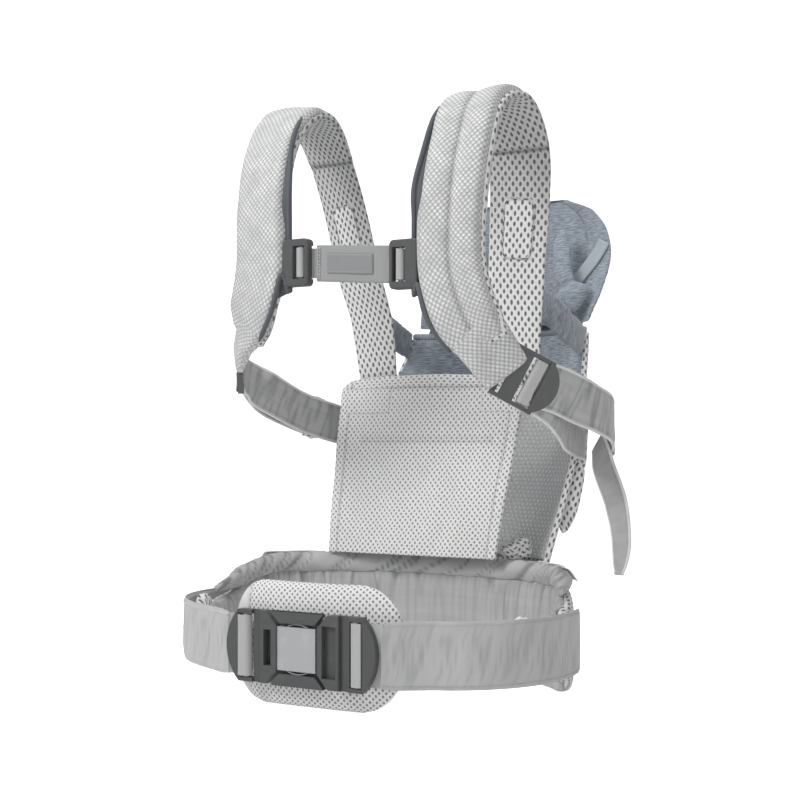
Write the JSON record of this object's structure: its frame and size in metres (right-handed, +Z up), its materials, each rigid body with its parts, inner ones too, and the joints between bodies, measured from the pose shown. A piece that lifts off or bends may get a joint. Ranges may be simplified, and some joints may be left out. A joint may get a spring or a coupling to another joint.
{
  "type": "soft baby carrier",
  "caption": "Soft front-worn baby carrier: padded waist belt, inner and outer panels, shoulder straps with a sliding chest strap, and a folding head support.",
  "frame": {"origin": "centre of the waist loop, at the mid-height of its webbing", "axes": "+Z up along the wearer's body, +Y from the wearer towards the baby, +X to the wearer's right"},
  "size_m": [0.3696, 0.3972, 0.5114],
  "materials": {
    "mesh": "open spacer mesh",
    "satin": "smooth satin weave",
    "knit": "ribbed knit",
    "foam": "open-cell foam",
    "webbing": "woven webbing",
    "label": "blank stitched label",
    "jersey": "heathered jersey",
    "dark_plastic": "fine moulded texture",
    "bar_plastic": "smooth moulded",
    "rail": "piped cord, slate",
    "spring": "moulded leaf spring"
  },
  "bodies": {
    "carrier": {"belt_end_mesh": "mesh", "belt_flaps": "satin", "belt_foam": "foam", "belt_lining": "satin", "belt_mesh_cover": "mesh", "belt_top_roll": "satin", "buckle_pad_foam": "foam", "buckle_pad_mesh": "mesh", "buckle_pad_side_strip": "satin", "front_panel_binding": "mesh", "front_panel_jersey": "jersey", "front_panel_lining": "satin", "front_panel_mesh": "mesh", "inner_panel": "mesh", "inner_panel_hem": "mesh", "neck_straps": "jersey", "return_strap_L": "satin", "return_strap_R": "satin", "seat_gussets": "mesh", "shoulder_cover_L": "knit", "shoulder_cover_R": "knit", "shoulder_foam": "foam", "shoulder_lining_L": "mesh", "shoulder_lining_R": "mesh", "side_strap_L": "satin", "side_strap_R": "satin", "side_wings": "mesh", "strap_end_tabs": "knit", "strap_keepers": "webbing", "strap_patches": "mesh", "strap_rails": "rail", "strap_tail_R": "satin", "waist_band_L": "satin", "waist_band_R": "satin", "waist_buckle_bar_L": "bar_plastic", "waist_buckle_middle_plate": "dark_plastic", "waist_buckle_socket": "dark_plastic", "waist_button_spring_bottom": "spring", "waist_button_spring_top": "spring", "waist_webbing_L": "webbing"},
    "waist_tongue": {"waist_buckle_tongue": "dark_plastic", "waist_buckle_bar_R": "bar_plastic", "waist_webbing_R": "webbing"},
    "waist_button_top": {"waist_button_top": "dark_plastic"},
    "waist_button_bottom": {"waist_button_bottom": "dark_plastic"},
    "chest_strap": {"chest_slider_L": "dark_plastic", "chest_slider_R": "dark_plastic", "chest_bars": "bar_plastic", "chest_webbing": "webbing", "chest_overlay": "webbing", "chest_label": "label"},
    "shoulder_buckle_L": {"shoulder_buckle_L": "dark_plastic", "shoulder_buckle_bar_L": "bar_plastic", "shoulder_webbing_L": "webbing"},
    "shoulder_buckle_R": {"shoulder_buckle_R": "dark_plastic", "shoulder_buckle_bar_R": "bar_plastic", "shoulder_webbing_R": "webbing"},
    "head_support": {"head_support_pad": "jersey", "head_support_mesh": "mesh", "head_side_rolls": "jersey"}
  },
  "joints": [
    {"name": "waist_buckle_release", "type": "slide", "parent": "carrier", "child": "waist_tongue", "axis": [1, 0, 0], "range_m": [0, 0.036], "deforming": ["waist_band_R"]},
    {"name": "waist_button_top_press", "type": "slide", "parent": "carrier", "child": "waist_button_top", "axis": [0, 0, -1], "range_m": [0, 0.0025], "stiffness_N_per_m": 400, "springref_m": -0.002, "deforming": ["waist_button_spring_top"]},
    {"name": "waist_button_bottom_press", "type": "slide", "parent": "carrier", "child": "waist_button_bottom", "axis": [0, 0, 1], "range_m": [0, 0.0025], "stiffness_N_per_m": 400, "springref_m": -0.002, "deforming": ["waist_button_spring_bottom"]},
    {"name": "chest_strap_height", "type": "slide", "parent": "carrier", "child": "chest_strap", "axis": [0, 0, 1], "range_m": [-0.008, 0.045]},
    {"name": "shoulder_buckle_L_tilt", "type": "hinge", "parent": "carrier", "child": "shoulder_buckle_L", "pos_m": [-0.13348, -0.01681, 0.24011], "axis": [-0.2404, 0.3458, 0.907], "range_deg": [0, 25]},
    {"name": "shoulder_buckle_R_tilt", "type": "hinge", "parent": "carrier", "child": "shoulder_buckle_R", "pos_m": [0.12922, -0.01694, 0.21927], "axis": [-0.3756, -0.2817, -0.883], "range_deg": [0, 25]},
    {"name": "head_support_fold", "type": "hinge", "parent": "carrier", "child": "head_support", "pos_m": [0.017, 0.253, 0.272], "axis": [-1, 0, 0], "range_deg": [0, 100]}
  ]
}
